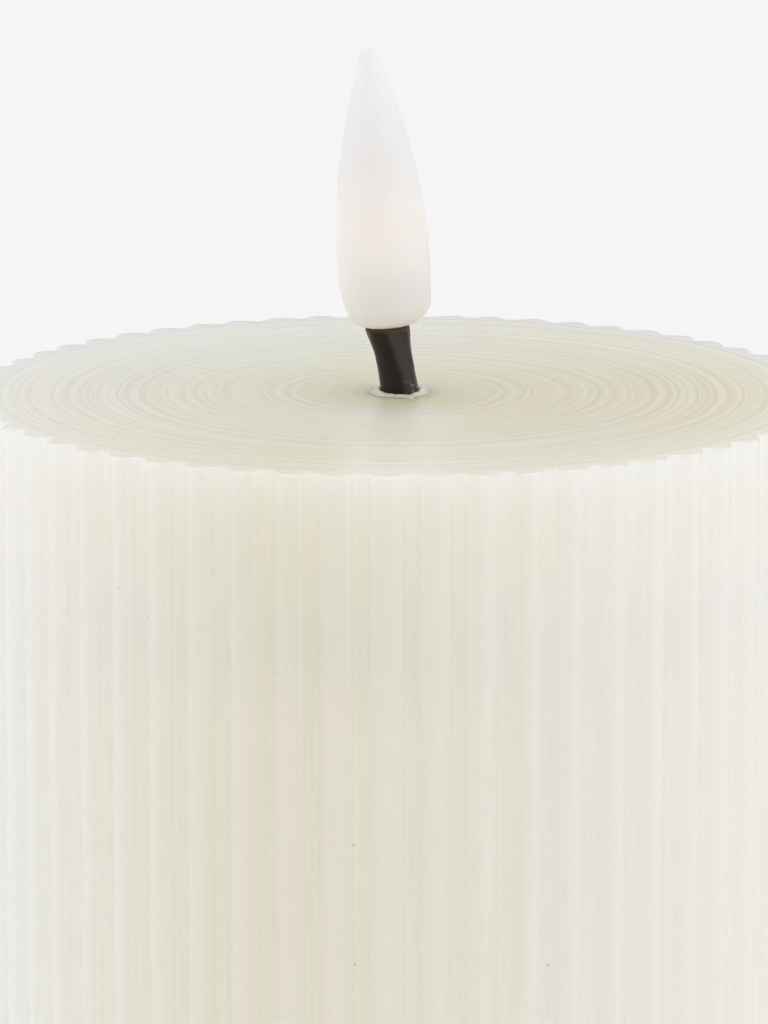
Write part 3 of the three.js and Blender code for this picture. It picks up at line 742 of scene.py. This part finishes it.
def flame_material():
    m = Material("flame", Roughness=0.5, IOR=1.41, Subsurface_Weight=1.0, Subsurface_Scale=0.0022)
    m.scatter(1.0, 0.85, 0.7)
    m.feed_roughness(420, 3, 0.45, 0.6)
    m.bump(m.noise(2200, 3), 0.006 * MM, 0.8)
    x, y, z = m.axes()
    height = m.maths("SUBTRACT", z, FLAME_FOOT.z)
    across = m.maths("ADD", m.maths("SUBTRACT", x, FLAME_FOOT.x),
                     m.product(height, math.tan(FLAME_LEAN)))
    # painted shade: the foot greyer, least at its left edge
    frost = m.mottle(160, 3, rgb(0.95, 0.945, 0.925), rgb(0.965, 0.96, 0.95))
    foot = m.product(m.remap(height, 2.5 * MM, 8 * MM, 1, 0),
                     m.remap(across, -4 * MM, -1 * MM, 0.2, 1))
    m.feed("Base Color", m.mix(foot, frost, rgb(0.875, 0.875, 0.88)))
    # painted glow: emission on the bore's upper wall stands in for the light that the LED throws up
    # it
    in_bore = m.remap(m.distance(across, y), 1.7 * MM, 1.9 * MM, 1, 0)
    painted_bore_glow = m.between(height, 4 * MM, 8.5 * MM, 12.2 * MM, 13.2 * MM)
    # painted light: the thin left edge glows white with the light from behind
    edge = m.remap(across, -4.3 * MM, -2.6 * MM, 1, 0)
    m.feed("Emission Color", m.mix(edge, rgb(1.0, 0.65, 0.30), rgb(1, 1, 1)))
    m.feed("Emission Strength", m.maths("ADD", m.product(m.product(in_bore, painted_bore_glow), 0.65),
                                        m.product(edge, 0.04)))
    return m.material


# ------------------------------------------------------------------ battery cells

CELLS = ("cell_1", "cell_2")


def cell_lie(name):
    """The corners and centre of a cell, and which way its button points along X."""
    low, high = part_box(name)
    way = 1 if high.x > -low.x else -1
    return low, high, (low + high) / 2, way


def cell(name):
    """A generic cell: a jacket with rolled edges, a button at one end, a flat cap at the other."""
    low, high, centre, way = cell_lie(name)
    r = (high.y - low.y) / 2 / MM
    end = (high.x - low.x) / MM
    # radius and distance from the flat end, in millimetres
    profile = [
        # the flat cap, and the jacket's edge rolled over it
        (0, 0.25), (3.6, 0.25), (3.8, 0.1), (5.0, 0.0), (5.3, 0.12), (5.5, 0.5), (6.3, 0.55),
        (r - 0.35, 0.35), (r - 0.1, 0.45), (r, 0.75), (r, 1.4),
        # the side, and the other edge
        (r, end * 0.5), (r, end - 3.0), (r, end - 2.3), (r - 0.1, end - 2.0),
        (r - 0.4, end - 1.85), (r - 0.9, end - 1.95), (r - 1.2, end - 2.3),
        # the cap with the button
        (3.4, end - 2.1), (2.95, end - 1.9), (2.75, end - 1.6), (2.75, end - 0.35),
        (2.6, end - 0.1), (2.3, end), (0, end),
    ]
    start = low.x if way > 0 else high.x
    sides = 64
    rows = []
    for radius, along in profile:
        x = start + way * along * MM
        if radius == 0:
            rows.append([Vector((x, centre.y, centre.z))])
            continue
        rows.append([Vector((x, centre.y + way * radius * MM * math.cos(TAU * i / sides),
                             centre.z + radius * MM * math.sin(TAU * i / sides)))
                     for i in range(sides)])
    return ring_mesh(name.replace("cell", "battery"), rows)


def cell_material(name):
    """Dark jacket with a lighter band near the button end, over bare steel ends."""
    centre, way = cell_lie(name)[2:]
    m = Material(name + "_jacket", Roughness=0.3, Coat_Weight=0.4, Coat_Roughness=0.15)
    x, y, z = m.axes()
    radius = m.distance(m.maths("SUBTRACT", y, centre.y), m.maths("SUBTRACT", z, centre.z))
    along = m.product(m.maths("SUBTRACT", x, centre.x), way)
    jacket = m.remap(radius, 6.7 * MM, 6.85 * MM)
    band = m.remap(along, 13.8 * MM, 14.0 * MM)
    stripe = m.between(along, 13.0 * MM, 13.1 * MM, 13.4 * MM, 13.5 * MM)
    dark = m.mottle(180, 4, rgb(0.035, 0.04, 0.046), rgb(0.05, 0.056, 0.064))
    paint = m.mix(band, dark, rgb(0.36, 0.37, 0.38))
    paint = m.mix(stripe, paint, rgb(0.6, 0.6, 0.61))
    steel = m.mottle(420, 4, rgb(0.56, 0.56, 0.57), rgb(0.68, 0.68, 0.69), 0.65)
    m.feed("Base Color", m.mix(jacket, steel, paint))
    m.feed("Metallic", m.remap(jacket, 0, 1, 1, 0))
    m.feed_roughness(700, 3, 0.24, 0.36)
    m.bump(m.noise(1500, 3), 0.004 * MM, 0.6)
    return m.material


# ------------------------------------------------------------------ materials of the other parts


def plastic_material():
    """Moulded white plastic with a fine spark texture and a little dust."""
    m = Material("white_plastic", Roughness=0.48, IOR=1.52, Subsurface_Weight=0.15,
                 Subsurface_Scale=0.0006)
    shade = m.mottle(60, 3, rgb(0.80, 0.795, 0.77), rgb(0.84, 0.836, 0.815))
    dust = m.remap(m.noise(900, 4, 0.7), 0.62, 0.75, 0, 0.25)
    m.feed("Base Color", m.mix(dust, shade, rgb(0.62, 0.60, 0.56)))
    m.feed_roughness(2400, 2, 0.42, 0.56)
    m.bump(m.noise(3800, 2, 0.6), 0.02 * MM, 0.8)
    return m.material


def metal_material(name, colour, roughness, streak):
    """Plated metal: the streaks run along the axis with the small number."""
    m = Material(name, Roughness=roughness, Metallic=1.0)
    grain = m.remap(m.noise(1, 4, 0.6, place=m.stretched(*streak)), NOISE_LOW, NOISE_HIGH)
    shade = m.mix(grain, darker(colour, 0.86), rgb(*colour))
    stain = m.remap(m.noise(300, 4), 0.55, 0.75, 0, 0.35)
    brown = rgb(colour[0] * 0.72, colour[1] * 0.68, colour[2] * 0.6)
    m.feed("Base Color", m.mix(stain, shade, brown))
    m.feed("Roughness", m.remap(grain, 0, 1, roughness - 0.06, roughness + 0.1, smooth=False))
    m.bump(grain, 0.006 * MM, 0.6)
    return m.material


BARE_METAL = (0.62, 0.62, 0.63)


def tinted_material(name, colour, roughness, grain=1800, depth=0.006, bare_of=None):
    """Painted, moulded or dyed surface with slight mottling and a fine grain. Where bare_of()
    gives one, the metal under it is bare."""
    m = Material(name, Roughness=roughness)
    light = rgb(*[min(1.0, c * 1.25 + 0.004) for c in colour])
    skin = m.mottle(320, 4, darker(colour, 0.85), light)
    if bare_of:
        bare = bare_of(m, *m.axes())
        metal = m.mottle(700, 3, darker(BARE_METAL, 0.88), rgb(*BARE_METAL))
        skin = m.mix(bare, skin, metal)
        m.feed("Metallic", bare)
    m.feed("Base Color", skin)
    m.feed_roughness(1100, 3, roughness - 0.06, roughness + 0.08)
    m.bump(m.noise(grain, 3), depth * MM, 0.7)
    return m.material


def chip_pins(m, x, y, z):
    low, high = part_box("timer_chip")
    body_half_width = 1.97 * MM
    return m.beyond(y, (low.y + high.y) / 2, body_half_width)


def resistor_ends(m, x, y, z):
    """The ends of both resistors, which lie the same way off to the left and right."""
    low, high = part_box("resistor_2")
    return m.beyond(m.maths("ABSOLUTE", x), (low.x + high.x) / 2, (high.x - low.x) * 0.36)


def capacitor_top(m, x, y, z):
    """The bare end of the can, inside the turned-in edge of its sleeve."""
    low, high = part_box("capacitor")
    opening, sleeve_edge = 1.5 * MM, 0.2 * MM
    across = m.maths("SUBTRACT", x, (low.x + high.x) / 2)
    along = m.maths("SUBTRACT", y, (low.y + high.y) / 2)
    inside = m.maths("LESS_THAN", m.squares(across, along), opening ** 2)
    return m.product(inside, m.maths("GREATER_THAN", z, high.z - sleeve_edge))


def board_material():
    """Green solder mask with patches of parallel tracks under it, and the board's bare edge."""
    m = Material("solder_mask", Roughness=0.3, Coat_Weight=0.5, Coat_Roughness=0.2)
    x, y, z = m.axes()
    tracks_per_metre, track_share = 900, 0.35
    lengthwise, crosswise = [
        m.maths("LESS_THAN", m.maths("FRACT", m.product(axis, tracks_per_metre)), track_share)
        for axis in (y, x)
    ]
    chance = m.cells(1, m.stretched(300, 300, 0.001), "CHEBYCHEV")[1]
    track = m.mix_value(m.maths("GREATER_THAN", chance, 0.55), lengthwise, crosswise)
    mask = m.mottle(240, 3, rgb(0.012, 0.11, 0.045), rgb(0.018, 0.14, 0.06))
    mask = m.mix(track, mask, rgb(0.032, 0.19, 0.08))
    low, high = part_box("circuit_board")
    face = m.beyond(z, (low.z + high.z) / 2, (high.z - low.z) * 0.42)
    m.feed("Base Color", m.mix(face, rgb(0.40, 0.38, 0.24), mask))
    m.feed_roughness(900, 2, 0.25, 0.38)
    m.bump(track, 0.02 * MM, 0.7)
    return m.material


def led_material():
    m = Material("led", Roughness=0.2, IOR=1.54)
    m.feed("Base Color", m.mottle(600, 2, rgb(0.5, 0.42, 0.26), rgb(0.6, 0.5, 0.32)))
    m.feed_roughness(900, 2, 0.15, 0.28)
    m.set("Emission Color", rgb(1.0, 0.62, 0.3))
    m.set("Emission Strength", 0.04)
    return m.material


# Softened edge of each moulded or pressed part, in millimetres.
SOFT_EDGES = {
    "base_housing": 0.14, "battery_door": 0.2, "upper_cover": 0.14, "wick_holder": 0.2,
    "switch_button": 0.2, "switch_lever": 0.12, "timer_chip": 0.08, "circuit_board": 0.08,
    "capacitor": 0.12, "crystal": 0.15, "positive_plate": 0.08, "negative_plate": 0.08,
    "bridge_plate": 0.08, "switch_body": 0.12, "resistor_1": 0.05, "resistor_2": 0.05,
}


def soften_edges(obj, width):
    """The weld joins the CAD's faces along their edges, which a bevel needs."""
    weld = obj.modifiers.new("weld", "WELD")
    weld.merge_threshold = 0.001 * MM
    bevel = obj.modifiers.new("soft edge", "BEVEL")
    bevel.width = width
    bevel.segments = 2
    bevel.limit_method = "ANGLE"
    bevel.angle_limit = math.radians(40)
    bevel.harden_normals = True


def make_inner_parts():
    lengthwise, upright, plain = (30, 900, 900), (900, 900, 30), (700, 700, 700)
    rough_grain = {"grain": 2600, "depth": 0.012}
    fine_grain = {"grain": 2600, "depth": 0.01}
    looks = {
        "shell_plastic": plastic_material(),
        "red_wire": tinted_material("red_pvc", (0.46, 0.02, 0.014), 0.36),
        "black_wire": tinted_material("black_pvc", (0.016, 0.016, 0.018), 0.36),
        "contact": metal_material("nickel_plate", (0.72, 0.70, 0.66), 0.24, upright),
        "board": board_material(),
        "chip": tinted_material("moulded_epoxy", (0.02, 0.02, 0.022), 0.46, **fine_grain,
                                bare_of=chip_pins),
        "capacitor": tinted_material("shrink_sleeve", (0.02, 0.026, 0.05), 0.3, **fine_grain,
                                     bare_of=capacitor_top),
        "crystal": metal_material("drawn_can", (0.66, 0.67, 0.69), 0.28, lengthwise),
        "resistor": tinted_material("resistor_film", (0.02, 0.02, 0.024), 0.4, **fine_grain,
                                    bare_of=resistor_ends),
        "screw": metal_material("zinc_plate", (0.6, 0.6, 0.61), 0.32, plain),
        "switch_case": metal_material("tinned_case", (0.66, 0.66, 0.67), 0.34, lengthwise),
        "switch_plastic": tinted_material("acetal", (0.02, 0.02, 0.022), 0.42, **rough_grain),
        "led": led_material(),
    }
    slots = {row["node"]: row["material_slot"] for row in frame["record"]["subparts"]}
    for name, obj in frame["nodes"].items():
        if slots[name] in looks:
            finish_with(obj, looks[slots[name]])
        if name in SOFT_EDGES:
            soften_edges(obj, SOFT_EDGES[name] * MM)
    for name in CELLS:
        finish_with(cell(name), cell_material(name), "candle", [name])


# ------------------------------------------------------------------ stage

# Brightness of the studio by the sine of the elevation, from the horizon up.
SKY = ((0.0, 0.3), (0.03, 0.3), (0.12, 0.35), (0.4, 0.6), (0.8, 1.06))
# Soft lights standing on the floor beside the candle: azimuth in degrees from the front to the
# right, distance, width, height, radiance and colour.
CARDS = (
    (-82, 0.34, 0.44, 0.34, 0.42, (0.98, 0.98, 1.12)),
    (66, 0.34, 0.36, 0.34, 0.56, (0.98, 0.98, 1.12)),
)
CARD_LIFT = 0.005
# Radii of the floor and of a circle in it, in metres, and how strongly it glows by itself.
FLOOR_RADIUS, FLOOR_MIDDLE = 9, 0.4
FLOOR_GLOW = 0.138


def make_lights():
    for azimuth, distance, width, height, radiance, colour in CARDS:
        light = bpy.data.lights.new("card", "AREA")
        light.shape = "RECTANGLE"
        light.size, light.size_y = width, height
        light.energy = radiance * math.pi * width * height
        light.color = colour
        turn = math.radians(azimuth)
        card = bpy.data.objects.new("card", light)
        card.location = (distance * math.sin(turn), -distance * math.cos(turn),
                         height / 2 + CARD_LIFT)
        card.rotation_euler = (math.pi / 2, 0, turn)
        bpy.context.scene.collection.objects.link(card)


def make_floor():
    sides = 96
    rows = [[Vector((0, 0, 0))]]
    rows += [circle(radius, radius, 0, sides) for radius in (FLOOR_MIDDLE, FLOOR_RADIUS)]
    floor = ring_mesh("floor", rows)
    m = Material("floor", Roughness=0.9, Specular_IOR_Level=0.0)
    m.feed("Base Color", m.mix(m.noise(3, 2), rgb(0.885, 0.885, 0.885), rgb(0.895, 0.895, 0.895)))
    m.set("Emission Color", rgb(1, 1, 1))
    m.set("Emission Strength", FLOOR_GLOW)
    floor.data.materials.append(m.material)


def make_sky():
    world = bpy.data.worlds.new("studio")
    bpy.context.scene.world = world
    world.use_nodes = True
    nodes, links = world.node_tree.nodes, world.node_tree.links
    split = nodes.new("ShaderNodeSeparateXYZ")
    links.new(nodes.new("ShaderNodeTexCoord").outputs["Generated"], split.inputs[0])
    ramp = nodes.new("ShaderNodeValToRGB")
    links.new(split.outputs["Z"], ramp.inputs[0])
    elements = ramp.color_ramp.elements
    while len(elements) < len(SKY):
        elements.new(0.5)
    for element, (position, level) in zip(elements, SKY):
        element.position = position
        element.color = rgb(level, level, level)
    links.new(ramp.outputs[0], nodes["Background"].inputs["Color"])
    bpy.context.scene.view_settings.view_transform = "Standard"


# ------------------------------------------------------------------ build

make_camera()
make_floor()
make_sky()
make_lights()
finish_with(wax_pillar(), wax_material(), "candle", ["wax_shell"])
finish_with(collar(), collar_material(), "candle")
finish_with(wick_tube(), wick_material(), "candle", ["wick_sleeve"])
finish_with(flame_diffuser(), flame_material(), "candle", ["flame"])
make_inner_parts()
